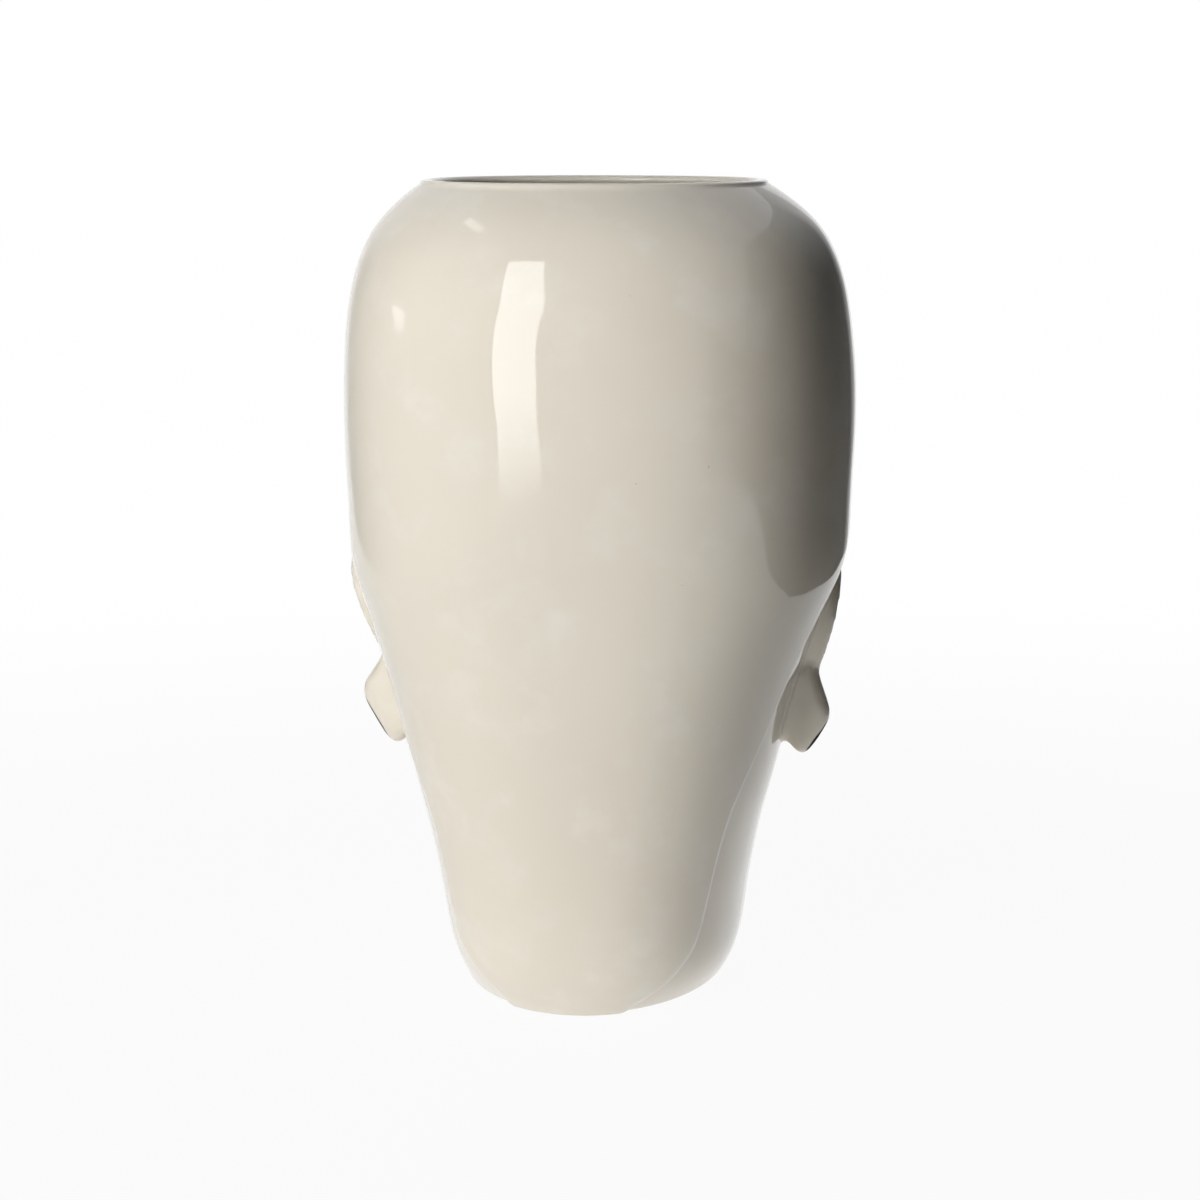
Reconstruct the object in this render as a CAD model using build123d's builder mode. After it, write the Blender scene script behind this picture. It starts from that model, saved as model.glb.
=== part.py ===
import os
from math import cos, pi, sin

from build123d import *

# Driving sizes of the vessel, in millimetres. The mouth leans a little to the head's own left.
# The face looks towards -Y, the mouth is up, and the foot stands on z = 0.
body_height = 382.0
half_width = 118.0
back_depth = 126.0
front_depth = 116.0
hood_step = 2.0
wall = 6.0
face_relief = 9.0
mouth_lean = 4.0
base_thickness = 9.0
rim_height = 11.0
foot_round = 2.0
lip_round = 1.6
overrun = 30.0
outline_steps = 28

# Sections of the head, from the foot to the mouth, each as shares:
# height, half width, back depth, back exponent, front depth, front exponent, relief, lean.
section_shares = [
    (0.000, 0.530, 0.672, 1.9, 0.600, 2.0, 0.0, 0.0),
    (0.021, 0.555, 0.755, 2.2, 0.690, 1.9, 0.0, 0.0),
    (0.052, 0.577, 0.817, 2.5, 0.785, 1.8, 0.2, 0.0),
    (0.105, 0.608, 0.877, 2.5, 0.860, 1.8, 0.6, 0.0),
    (0.150, 0.633, 0.890, 2.5, 0.850, 1.9, 0.9, 0.0),
    (0.205, 0.670, 0.901, 2.5, 0.888, 2.0, 1.0, 0.0),
    (0.262, 0.722, 0.913, 2.5, 0.905, 2.1, 1.0, 0.0),
    (0.340, 0.782, 0.929, 2.5, 0.920, 2.2, 1.0, 0.0),
    (0.393, 0.829, 0.937, 2.5, 0.922, 2.2, 1.0, 0.0),
    (0.445, 0.881, 0.948, 2.5, 0.930, 2.3, 1.0, 0.0),
    (0.497, 0.940, 0.960, 2.5, 0.972, 2.4, 0.9, 0.0),
    (0.531, 0.975, 0.976, 2.5, 0.990, 2.4, 0.7, 0.0),
    (0.589, 0.987, 0.992, 2.5, 0.999, 2.4, 0.4, 0.0),
    (0.662, 0.997, 1.000, 2.5, 1.000, 2.4, 0.1, 0.0),
    (0.751, 1.000, 1.000, 2.5, 0.990, 2.4, 0.0, 0.0),
    (0.827, 0.983, 0.980, 2.5, 0.966, 2.4, 0.0, 0.15),
    (0.887, 0.950, 0.940, 2.4, 0.926, 2.3, 0.0, 0.3),
    (0.924, 0.904, 0.889, 2.4, 0.872, 2.3, 0.0, 0.4),
    (0.950, 0.851, 0.837, 2.3, 0.825, 2.2, 0.0, 0.55),
    (0.974, 0.768, 0.762, 2.2, 0.745, 2.2, 0.0, 0.8),
    (0.990, 0.700, 0.698, 2.2, 0.680, 2.2, 0.0, 1.0),
    (1.000, 0.644, 0.651, 2.2, 0.625, 2.2, 0.0, 1.05),
]

# Side view of the crease between hood and face, from the hairline over the ear to the foot.
# Each point is a share of the front or back depth and a share of the height.
hairline_shares = [(-1.30, 0.790), (-0.78, 0.728), (-0.20, 0.590)]
nape_shares = [
    (0.220, 0.518), (0.398, 0.445), (0.508, 0.340), (0.593, 0.183),
    (0.636, 0.105), (0.682, 0.052), (0.746, 0.021), (0.850, -0.012),
]

# Ears. The ear plane leans with the side of the head and opens a little to the front.
ear_height_share = 0.458
ear_y = 5.0
ear_stand = 1.2
ear_lean = 12.0
ear_open = 10.0
ear_half_width = 22.0
ear_half_height = 27.0
ear_root = 16.0
concha_depth = 4.0
helix_radius = 3.0
fold_radius = 2.6
ear_outline_shares = [
    (-0.10, 1.00), (0.62, 0.80), (0.92, 0.28), (0.72, -0.42),
    (0.10, -0.96), (-0.50, -0.78), (-0.86, -0.08), (-0.74, 0.62),
]
helix_shares = [
    (-0.16, -0.12), (-0.58, 0.16), (-0.66, 0.62), (-0.10, 0.90),
    (0.54, 0.72), (0.82, 0.26), (0.64, -0.38), (0.22, -0.84),
]
fold_shares = [(0.16, 0.56), (0.40, 0.22), (0.34, -0.28), (-0.06, -0.62)]
concha_shares = [(-0.02, 0.14), (0.24, -0.10), (0.08, -0.46), (-0.34, -0.56), (-0.48, -0.16)]

# Lobes, as rounded lozenges seen from behind: top, widest and lowest height of each side.
lobe_y = 12.0
lobe_thickness = 16.0
lobe_round = 5.0
lobe_edge_round = 4.0
lobe_neck = 7.5
lobe_reach = 21.5
lobe_hang = 11.0
lobe_rise = 11.0
lobe_root = 14.0
lobe_top_share = 0.404
lobe_left_wide_share = 0.354
lobe_left_low_share = 0.288
lobe_right_wide_share = 0.336
lobe_right_low_share = 0.284

# Nose, from the root between the eyes to the base: height share, half width, projection.
nose_tip_reach = 22.0
nose_half_width = 20.0
nose_root = 12.0
nostril_radius = 4.0
nostril_spread = 9.0
nose_foot_share = 1.15
nose_wing_share = 0.98
nose_ridge_share = 0.46
nose_flank_share = 0.66
nose_shares = [
    (0.492, 0.42, 0.10), (0.445, 0.36, 0.28), (0.392, 0.48, 0.60),
    (0.338, 0.72, 0.92), (0.306, 0.98, 1.00), (0.284, 0.96, 0.72), (0.272, 0.70, 0.30),
]

# Mouth. The lips are slices of a ring, cut to their outlines.
# Outline points: shares of the mouth's half width and of the lip's height.
mouth_height_share = 0.210
mouth_half_width = 32.0
lip_depth = 7.0
lip_curve = 48.0
lip_swell_share = 0.62
upper_lip_height = 10.0
lower_lip_height = 12.0
mouth_line_shares = [(-1.0, 0.0), (-0.45, 0.10), (0.0, -0.06), (0.45, 0.10), (1.0, 0.0)]
upper_lip_shares = [
    (-1.0, 0.14), (-0.62, 0.60), (-0.22, 1.02), (0.0, 0.88), (0.22, 1.02), (0.62, 0.60), (1.0, 0.14),
]
lower_lip_shares = [(-1.0, -0.14), (-0.56, -0.72), (0.0, -1.0), (0.56, -0.72), (1.0, -0.14)]

# Eyes.
eye_height_share = 0.438
eye_spread = 44.0
eye_radius = 22.0
lid_thickness = 3.0
eye_set_back = 21.0
eye_half_width = 17.0
eye_half_height = 6.0
socket_half_width = 30.0
socket_half_height = 23.0
socket_depth = 9.0

# Brows, from the inner to the outer end: shares of their length and of their height.
brow_height_share = 0.503
brow_inner = 16.0
brow_outer = 70.0
brow_height = 10.0
brow_relief = 3.5
brow_upper_shares = [(0.0, 0.25), (0.30, 0.80), (0.58, 1.0), (0.82, 0.62), (1.0, -0.30)]
brow_lower_shares = [(0.0, -0.45), (0.30, 0.05), (0.58, 0.30), (0.82, 0.05), (1.0, -0.52)]
sprig_bed = 20.0


def share_at(height, column):
    # Linear reading of one column of the section table.
    share = height / body_height
    for low, high in zip(section_shares, section_shares[1:]):
        if share <= high[0]:
            t = (share - low[0]) / (high[0] - low[0])
            return low[column] + t * (high[column] - low[column])
    return section_shares[-1][column]


def front_surface(x, height):
    # Depth of the plain face in front of the axis.
    n = share_at(height, 5)
    reach = share_at(height, 4) * front_depth
    width = share_at(height, 1) * half_width
    return reach * (1 - abs(x / width) ** n) ** (1 / n)


def side_surface(height):
    return share_at(height, 1) * half_width


def section_points(row, grow, relief):
    _, width_share, back_share, back_power, front_share, front_power, relief_share, lean_share = row
    width = width_share * half_width + grow
    back = back_share * back_depth + grow
    front = front_share * front_depth + grow - relief_share * relief
    points = []
    for step in range(outline_steps):
        angle = pi / 2 + 2 * pi * step / outline_steps
        c, s = cos(angle), sin(angle)
        power, depth = (back_power, back) if s >= 0 else (front_power, front)
        across = width * abs(c) ** (2 / power) * (1 if c >= 0 else -1)
        along = depth * abs(s) ** (2 / power) * (1 if s >= 0 else -1)
        points.append((across + lean_share * mouth_lean, along))
    return points


def head_form(grow, relief, foot):
    # The whole head as one closed form, grown outwards or inwards.
    with BuildPart() as form:
        for row in section_shares:
            with BuildSketch(Plane.XY.offset(row[0] * body_height)):
                with BuildLine():
                    Spline(*section_points(row, grow, relief), periodic=True)
                make_face()
        loft()
        if foot:
            fillet(form.edges().group_by(Axis.Z)[0], foot)
    return form.part


def outline_block(upper, lower, start):
    # A block with an outline seen from the front, from a depth in front of the axis outwards.
    with BuildPart() as block:
        with BuildSketch(Plane.XZ.offset(start)):
            with BuildLine():
                Spline(*upper)
                Spline(*lower)
                Line(upper[0], lower[0])
                Line(upper[-1], lower[-1])
            make_face()
        extrude(amount=sprig_bed + overrun)
    return block.part


def main_solid(piece):
    # What a cut leaves beside the piece itself is a trimming.
    return Part([piece.solids().sort_by(SortBy.VOLUME)[-1]])


def finish(piece, name):
    piece.label = name
    export_step(piece, f"parts/{name}.step")
    print(name, len(piece.solids()), round(piece.volume))


os.makedirs("parts", exist_ok=True)

# The forms that the pieces are cut from.
face_form = head_form(0, 0, foot_round)
hood_form = head_form(hood_step, 0, foot_round)
cavity = head_form(-wall, face_relief, 0)

with BuildPart() as hood_region:
    with BuildSketch(Plane.YZ):
        with BuildLine():
            crease_points = [(y * front_depth, z * body_height) for y, z in hairline_shares]
            crease_points += [(y * back_depth, z * body_height) for y, z in nape_shares]
            crease = Spline(*crease_points)
            front_end, back_end = crease @ 0, crease @ 1
            top = body_height + overrun
            rear = back_depth + overrun
            Polyline(
                front_end, (front_end.X, top), (rear, top),
                (rear, back_end.Y), back_end,
            )
        make_face()
    extrude(amount=half_width + overrun, both=True)

# The hood: skull and nape, standing a step proud of the face.
with BuildPart() as hood_shell:
    add(hood_form)
    add(hood_region.part, mode=Mode.INTERSECT)
    add(cavity, mode=Mode.SUBTRACT)
    split(bisect_by=Plane.XY.offset(body_height - rim_height), keep=Keep.BOTTOM)

# The rim coil closes the hood at the mouth.
with BuildPart() as rim:
    add(hood_form)
    add(cavity, mode=Mode.SUBTRACT)
    split(bisect_by=Plane.XY.offset(body_height - rim_height), keep=Keep.TOP)
    fillet(rim.edges().group_by(Axis.Z)[-1], lip_round)

# The eye sockets are pressed into the face before the eyes are set.
eye_height = eye_height_share * body_height
eye_surface = front_surface(eye_spread, eye_height)

with BuildPart() as socket:
    Sphere(1)
    scale(by=(socket_half_width, socket_depth, socket_half_height))

with BuildPart() as face_shell:
    add(face_form)
    add(cavity, mode=Mode.SUBTRACT)
    add(hood_region.part, mode=Mode.SUBTRACT)
    for side in (-1, 1):
        with Locations((side * eye_spread, -eye_surface, eye_height)):
            add(socket.part, mode=Mode.SUBTRACT)

with BuildPart() as base:
    add(cavity)
    split(bisect_by=Plane.XY.offset(base_thickness), keep=Keep.BOTTOM)

# Each sprig is trimmed to the wall that it is pressed on.
def seat(form, *others):
    with BuildPart() as sprig:
        add(form)
        add(face_form, mode=Mode.SUBTRACT)
        add(hood_shell.part, mode=Mode.SUBTRACT)
        for other in others:
            add(other, mode=Mode.SUBTRACT)
    return main_solid(sprig.part)


# The ear is shaped on its own leaning plane: x to the back, y up, z outwards.
ear_height = ear_height_share * body_height
ear_normal = Vector(1, 0, 0).rotate(Axis.Y, ear_lean).rotate(Axis.Z, -ear_open)
ear_across = Vector(0, 1, 0).rotate(Axis.Z, -ear_open)
ear_plane = Plane(
    origin=(side_surface(ear_height) + ear_stand, ear_y, ear_height),
    x_dir=ear_across,
    z_dir=ear_normal,
)


def ear_points(shares):
    return [(x * ear_half_width, y * ear_half_height) for x, y in shares]


def ear_roll(shares, radius):
    # A coil of clay with round ends along a curve in the ear plane.
    with BuildPart() as coil:
        with BuildLine(ear_plane) as route:
            Spline(*ear_points(shares))
        with BuildSketch(Plane(origin=route.line @ 0, z_dir=route.line % 0)):
            Circle(radius)
        sweep(path=route.line)
        with Locations(route.line @ 0, route.line @ 1):
            Sphere(radius)
    return coil.part


with BuildPart() as ear_form:
    with BuildSketch(ear_plane.offset(-ear_root)):
        with BuildLine():
            Spline(*ear_points(ear_outline_shares), periodic=True)
        make_face()
    extrude(amount=ear_root)
    with BuildSketch(ear_plane):
        with BuildLine():
            Spline(*ear_points(concha_shares), periodic=True)
        make_face()
    extrude(amount=-concha_depth, mode=Mode.SUBTRACT)
    add(ear_roll(helix_shares, helix_radius))
    add(ear_roll(fold_shares, fold_radius))

ear_left = seat(ear_form.part)
ear_right = mirror(ear_left, about=Plane.YZ)


def lobe_form(wide_share, low_share):
    # A rounded lozenge, seen from behind, that hangs from the ear beside the neck.
    top_z = lobe_top_share * body_height
    wide_z = wide_share * body_height
    low_z = low_share * body_height
    inner_z = low_z + lobe_rise
    with BuildPart() as lobe:
        with BuildSketch(Plane.XZ.offset(-lobe_y - lobe_thickness / 2)) as outline:
            with BuildLine():
                Polyline(
                    (side_surface(top_z) - lobe_root, top_z),
                    (side_surface(top_z) + lobe_neck, top_z),
                    (side_surface(wide_z) + lobe_reach, wide_z),
                    (side_surface(low_z) + lobe_hang, low_z),
                    (side_surface(inner_z), inner_z),
                    (side_surface(inner_z) - lobe_root, inner_z),
                    close=True,
                )
            make_face()
            fillet(outline.vertices().group_by(Axis.X)[-1], lobe_round)
            fillet(outline.vertices().group_by(Axis.Y)[0], lobe_round)
        extrude(amount=lobe_thickness)
        outer = lobe.edges().filter_by(lambda edge: edge.center().Z < top_z - lobe_edge_round)
        fillet(outer - outer.filter_by(Axis.Y), lobe_edge_round)
    return lobe.part


ear_lobe_left = seat(lobe_form(lobe_left_wide_share, lobe_left_low_share), ear_left)
ear_lobe_right = mirror(
    seat(lobe_form(lobe_right_wide_share, lobe_right_low_share), ear_left), about=Plane.YZ
)

# The nose: a loft from the root between the eyes to the base, with two nostrils.
with BuildPart() as nose_form:
    for height_share, width_share, reach_share in nose_shares:
        height = height_share * body_height
        width = width_share * nose_half_width
        reach = reach_share * nose_tip_reach
        surface = front_surface(0, height)
        flank = [
            (width * nose_foot_share, -surface + nose_root),
            (width * nose_wing_share, -surface),
            (width * nose_ridge_share, -surface - reach * nose_flank_share),
        ]
        with BuildSketch(Plane.XY.offset(height)):
            with BuildLine():
                points = [(-x, y) for x, y in flank] + [(0, -surface - reach)] + flank[::-1]
                Spline(*points)
                Line(points[-1], points[0])
            make_face()
    loft()
    base_height = nose_shares[-1][0] * body_height
    nostril_y = -front_surface(0, base_height) - nose_tip_reach / 2
    with Locations(*[(side * nostril_spread, nostril_y, base_height) for side in (-1, 1)]):
        Sphere(nostril_radius, mode=Mode.SUBTRACT)
nose = seat(nose_form.part)


mouth_height = mouth_height_share * body_height
mouth_depth = front_surface(0, mouth_height)


def lip_line(shares, height):
    return [(x * mouth_half_width, mouth_height + z * height) for x, z in shares]


def lip_form(upper, lower, middle, height):
    # The ring swells forward in the middle and sinks into the face at the corners.
    block = outline_block(upper, lower, mouth_depth - sprig_bed)
    with BuildPart() as lip:
        with BuildSketch(Plane.YZ):
            with Locations((-mouth_depth, middle)):
                Ellipse(lip_depth, height * lip_swell_share)
        revolve(axis=Axis((0, lip_curve - mouth_depth, 0), (0, 0, 1)))
        add(block, mode=Mode.INTERSECT)
    return lip.part


mouth_line = lip_line(mouth_line_shares, upper_lip_height)
upper_lip = seat(lip_form(
    lip_line(upper_lip_shares, upper_lip_height), mouth_line,
    mouth_height + upper_lip_height / 2, upper_lip_height,
))
lower_lip = seat(lip_form(
    mouth_line, lip_line(lower_lip_shares, lower_lip_height),
    mouth_height - lower_lip_height / 2, lower_lip_height,
))

# An eye: a ball in its socket under two lids that leave an almond open.
with BuildPart() as ball_form:
    Sphere(eye_radius)

with BuildPart() as lid_form:
    Sphere(eye_radius + lid_thickness)
    Sphere(eye_radius, mode=Mode.SUBTRACT)
    with BuildSketch(Plane.XZ):
        with BuildLine():
            ThreePointArc((-eye_half_width, 0), (0, eye_half_height), (eye_half_width, 0))
            ThreePointArc((eye_half_width, 0), (0, -eye_half_height), (-eye_half_width, 0))
        make_face()
    extrude(amount=eye_radius + overrun, mode=Mode.SUBTRACT)


def eye_piece(form):
    # Set into the socket and kept outside the wall.
    with BuildPart() as piece:
        with Locations((eye_spread, -eye_surface + eye_set_back, eye_height)):
            add(form)
        add(face_shell.part, mode=Mode.SUBTRACT)
        add(cavity, mode=Mode.SUBTRACT)
    return main_solid(piece.part)


eyeball = eye_piece(ball_form.part)
both_lids = eye_piece(lid_form.part)
with BuildPart() as upper_eyelid:
    add(both_lids)
    split(bisect_by=Plane.XY.offset(eye_height), keep=Keep.TOP)
with BuildPart() as lower_eyelid:
    add(both_lids)
    split(bisect_by=Plane.XY.offset(eye_height), keep=Keep.BOTTOM)

# A brow: a strip of even thickness, cut to its arc and pressed on over the eye.
brow_z = brow_height_share * body_height


def brow_line(shares):
    length = brow_outer - brow_inner
    return [(brow_inner + x * length, brow_z + z * brow_height) for x, z in shares]


brow_form = head_form(brow_relief, 0, 0)
brow_block = outline_block(
    brow_line(brow_upper_shares), brow_line(brow_lower_shares),
    front_surface(brow_outer, brow_z) - sprig_bed,
)
with BuildPart() as brow_strip:
    add(brow_form)
    add(brow_block, mode=Mode.INTERSECT)
brow = seat(brow_strip.part)

finish(hood_shell.part, "hood_shell")
finish(face_shell.part, "face_shell")
finish(rim.part, "rim")
finish(base.part, "base")
finish(nose, "nose")
finish(upper_lip, "upper_lip")
finish(lower_lip, "lower_lip")
finish(ear_left, "ear_left")
finish(ear_right, "ear_right")
finish(ear_lobe_left, "ear_lobe_left")
finish(ear_lobe_right, "ear_lobe_right")
pairs = {
    "eyeball": eyeball,
    "upper_eyelid": upper_eyelid.part,
    "lower_eyelid": lower_eyelid.part,
    "brow": brow,
}
for name, left in pairs.items():
    finish(left, f"{name}_left")
    finish(mirror(left, about=Plane.YZ), f"{name}_right")
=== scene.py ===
from math import atan, cos, pi, radians, sin

import bmesh
import bpy
import numpy as np
from mathutils import Matrix, Vector


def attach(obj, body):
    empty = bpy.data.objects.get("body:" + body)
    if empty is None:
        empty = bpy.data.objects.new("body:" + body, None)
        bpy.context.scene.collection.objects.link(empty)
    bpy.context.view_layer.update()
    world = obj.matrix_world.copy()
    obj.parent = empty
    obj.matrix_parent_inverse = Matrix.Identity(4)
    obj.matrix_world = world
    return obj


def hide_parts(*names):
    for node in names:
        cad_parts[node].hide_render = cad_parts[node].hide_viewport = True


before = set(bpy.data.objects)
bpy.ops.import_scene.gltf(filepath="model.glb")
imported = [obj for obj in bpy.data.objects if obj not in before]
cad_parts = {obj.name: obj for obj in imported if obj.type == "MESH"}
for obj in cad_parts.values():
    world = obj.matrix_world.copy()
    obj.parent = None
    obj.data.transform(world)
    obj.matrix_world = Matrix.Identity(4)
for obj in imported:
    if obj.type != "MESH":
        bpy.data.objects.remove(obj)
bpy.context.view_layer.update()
scene = bpy.context.scene
scene.view_settings.view_transform = "Standard"
print("frame loaded")

# the thrown form of the head, in metres, as in the CAD source
vessel = {
    "height": 0.382, "halfWidth": 0.118, "backDepth": 0.126, "frontDepth": 0.116, "mouthLean": 0.004,
    "profileSteps": 900, "smoothing": 0.007, "sideBlend": 0.25, "columns": 400,
    "creaseSteps": 600, "creaseHeights": 1200, "creaseSoftness": 2, "stretchLimit": 9,
    # near the foot the tongue is cut a little wider on the left: how far, up to where, from which side on
    "tongueSkew": 0.0045, "skewHeights": (0.015, 0.060), "skewSides": (0.1, 0.4),
}
# shares of height, half width, back depth with its power, front depth with its power, and lean
sectionShares = [
    (0.000, 0.530, 0.697, 2.0, 0.600, 2.0, 0.75),
    (0.021, 0.555, 0.757, 2.2, 0.690, 1.9, 0.30),
    (0.052, 0.582, 0.817, 2.5, 0.785, 1.8, 0.15),
    (0.105, 0.608, 0.877, 2.5, 0.860, 1.8, 0.30),
    (0.150, 0.633, 0.890, 2.5, 0.850, 1.9, 0.30),
    (0.205, 0.670, 0.901, 2.5, 0.888, 2.0, 0.30),
    (0.262, 0.722, 0.913, 2.5, 0.905, 2.1, 0.30),
    (0.340, 0.782, 0.929, 2.5, 0.920, 2.2, 0.30),
    (0.393, 0.829, 0.937, 2.5, 0.922, 2.2, 0.20),
    (0.445, 0.881, 0.948, 2.5, 0.930, 2.3, 0.08),
    (0.497, 0.940, 0.960, 2.5, 0.972, 2.4, 0.0),
    (0.531, 0.975, 0.976, 2.5, 0.990, 2.4, 0.0),
    (0.589, 0.987, 0.992, 2.5, 0.999, 2.4, 0.0),
    (0.662, 0.997, 1.000, 2.5, 1.000, 2.4, 0.0),
    (0.751, 1.000, 1.000, 2.5, 0.990, 2.4, 0.0),
    (0.827, 0.983, 0.980, 2.5, 0.966, 2.4, 0.15),
    (0.887, 0.950, 0.940, 2.4, 0.926, 2.3, 0.30),
    (0.924, 0.904, 0.889, 2.4, 0.872, 2.3, 0.40),
    (0.950, 0.851, 0.837, 2.3, 0.825, 2.2, 0.55),
    (0.974, 0.768, 0.762, 2.2, 0.745, 2.2, 0.80),
    (0.990, 0.700, 0.698, 2.2, 0.680, 2.2, 1.00),
    (1.000, 0.644, 0.651, 2.2, 0.625, 2.2, 1.05),
]
# side view of the crease, from the hairline to the foot: share of the depth, share of the height
creaseShares = [
    (-1.30, 0.790), (-0.78, 0.728), (-0.20, 0.590), (0.220, 0.518), (0.398, 0.445),
    (0.508, 0.340), (0.600, 0.270), (0.625, 0.190), (0.636, 0.110), (0.655, 0.085),
    (0.683, 0.062), (0.688, 0.042), (0.680, 0.020), (0.652, 0.004), (0.615, -0.012),
]


def splineThrough(rows, steps, count):
    # a natural cubic spline, read at even steps
    at = np.concatenate([[0], np.cumsum(steps)])
    matrix, right = np.eye(len(at)), np.zeros_like(rows)
    for i in range(1, len(at) - 1):
        matrix[i, i - 1:i + 2] = steps[i - 1], 2 * (steps[i - 1] + steps[i]), steps[i]
        right[i] = 6 * ((rows[i + 1] - rows[i]) / steps[i] - (rows[i] - rows[i - 1]) / steps[i - 1])
    bends = np.linalg.solve(matrix, right)
    fine = np.linspace(0, at[-1], count)
    k = np.clip(np.searchsorted(at, fine) - 1, 0, len(at) - 2)
    h, before, after = steps[k][:, None], (fine - at[k])[:, None], (at[k + 1] - fine)[:, None]
    return ((bends[k] * after ** 3 + bends[k + 1] * before ** 3) / (6 * h)
            + (rows[k] / h - bends[k] * h / 6) * after + (rows[k + 1] / h - bends[k + 1] * h / 6) * before)


def thrownProfile(rows):
    # the listed sections, smoothed as a thrower's rib smooths the wall
    rows, count = np.array(rows), vessel["profileSteps"]
    steps = np.hypot(np.diff(rows[:, 0]) * vessel["height"], np.diff(rows[:, 1]) * vessel["halfWidth"])
    fine = splineThrough(rows, steps, count)
    reach = vessel["smoothing"] / (steps.sum() / (count - 1))
    span = np.arange(-int(3 * reach), int(3 * reach) + 1)
    weights = np.exp(-span ** 2 / 2 / reach ** 2)
    pad = len(span) // 2
    padded = np.vstack([2 * fine[0] - fine[pad:0:-1], fine, 2 * fine[-1] - fine[-2:-pad - 2:-1]])
    fine = np.column_stack([np.convolve(column, weights / weights.sum(), "valid") for column in padded.T])
    fine[:, 0] = (fine[:, 0] - fine[0, 0]) / (fine[-1, 0] - fine[0, 0])
    return fine


profile = thrownProfile(sectionShares)
profileHeights = profile[:, 0] * vessel["height"]
profileRun = np.concatenate([[0], np.cumsum(np.hypot(
    np.diff(profileHeights), np.diff(profile[:, 1]) * vessel["halfWidth"]))])


def shareAt(height, column):
    return np.interp(height, profileHeights, profile[:, column])


def leanAt(height):
    return shareAt(height, 6) * vessel["mouthLean"]


def smoothStep(low, high, value):
    t = np.clip((value - low) / (high - low), 0, 1)
    return t * t * (3 - 2 * t)


def skinRadius(azimuth, height, grow=0.0):
    # azimuth 0 is the back of the head, a quarter turn is its own left
    across, along = np.abs(np.sin(azimuth)), np.cos(azimuth)
    width = shareAt(height, 1) * vessel["halfWidth"] + grow
    halves = []
    for depthColumn, depth in ((2, "backDepth"), (4, "frontDepth")):
        power = shareAt(height, depthColumn + 1)
        reach = shareAt(height, depthColumn) * vessel[depth] + grow
        halves.append(((across / width) ** power + (np.abs(along) / reach) ** power) ** (-1 / power))
    back, front = halves
    return front + (back - front) * smoothStep(-vessel["sideBlend"], vessel["sideBlend"], along)


azimuths = np.arange(vessel["columns"]) * 2 * pi / vessel["columns"]


def creaseHeights():
    # for each column, the height at which the skin crosses the side view's crease
    points = np.array([(y * vessel["frontDepth" if y < 0 else "backDepth"], z * vessel["height"])
                       for y, z in creaseShares])
    line = splineThrough(points, np.hypot(*np.diff(points, axis=0).T), vessel["creaseSteps"])
    heights = np.linspace(0, vessel["height"], vessel["creaseHeights"])
    creaseY = np.interp(heights, line[::-1, 1], line[::-1, 0])
    skewAtFoot = vessel["tongueSkew"] * (1 - smoothStep(*vessel["skewHeights"], heights))
    found = []
    for azimuth in azimuths:
        skew = skewAtFoot * smoothStep(*vessel["skewSides"], sin(azimuth))
        gap = skinRadius(azimuth, heights) * cos(azimuth) - creaseY + skew
        found.append(heights[np.argmax(gap > 0)])
    # each column is averaged with its neighbours, round the whole ring
    reach = vessel["creaseSoftness"]
    soft = np.ones(2 * reach + 1) / (2 * reach + 1)
    return np.convolve(found[-reach:] + found + found[:reach], soft, "valid")


crease = creaseHeights()
creaseSlope = np.gradient(np.concatenate([crease[-1:], crease, crease[:1]]))[1:-1] / (
    skinRadius(azimuths, crease) * 2 * pi / vessel["columns"])
creaseStretch = np.minimum(np.hypot(1, creaseSlope), vessel["stretchLimit"])


def ringPoints(heights, radii):
    heights = np.broadcast_to(heights, azimuths.shape)
    return np.column_stack([radii * np.sin(azimuths) + leanAt(heights), radii * np.cos(azimuths), heights])


def stackRings(bm, rings, capped=False):
    # extrudes a circle ring by ring, then closes the last ring onto the first or caps both
    ring = bmesh.ops.create_circle(bm, segments=len(rings[0]), radius=1)["verts"]
    first = None
    for points in rings:
        if first is None:
            first = ring
        else:
            edges = [bm.edges.get((a, b)) for a, b in zip(ring, ring[1:] + ring[:1])]
            made = {part for part in bmesh.ops.extrude_edge_only(bm, edges=edges)["geom"]
                    if isinstance(part, bmesh.types.BMVert)}
            ring = [next(e.other_vert(v) for e in v.link_edges if e.other_vert(v) in made) for v in ring]
        for vert, point in zip(ring, points):
            vert.co = point
    ends = [bm.edges.get((a, b)) for loop in (first, ring) for a, b in zip(loop, loop[1:] + loop[:1])]
    if capped:
        bmesh.ops.holes_fill(bm, edges=ends)
    else:
        bmesh.ops.bridge_loops(bm, edges=ends)
    bmesh.ops.recalc_face_normals(bm, faces=bm.faces)


def finishPiece(name, bm, material):
    mesh = bpy.data.meshes.new(name)
    bm.to_mesh(mesh)
    bm.free()
    mesh.materials.append(material)
    mesh.shade_smooth()
    piece = bpy.data.objects.new(name, mesh)
    scene.collection.objects.link(piece)
    return piece


class Web:
    # the points of a mesh and the edges between them
    def __init__(self, mesh):
        self.count = len(mesh.vertices)
        self.places = np.empty(self.count * 3)
        mesh.vertices.foreach_get("co", self.places)
        self.places = self.places.reshape(-1, 3)
        ends = np.empty(len(mesh.edges) * 2, dtype=int)
        mesh.edges.foreach_get("vertices", ends)
        self.ends = ends.reshape(-1, 2)
        self.both = np.vstack([self.ends, self.ends[:, ::-1]])
        self.links = np.bincount(self.both[:, 0], minlength=self.count).clip(1)

    def around(self, values):
        # the average of each point's neighbours
        sums = [np.bincount(self.both[:, 0], column[self.both[:, 1]], self.count) for column in values.T]
        return np.column_stack(sums) / self.links[:, None]


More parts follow.
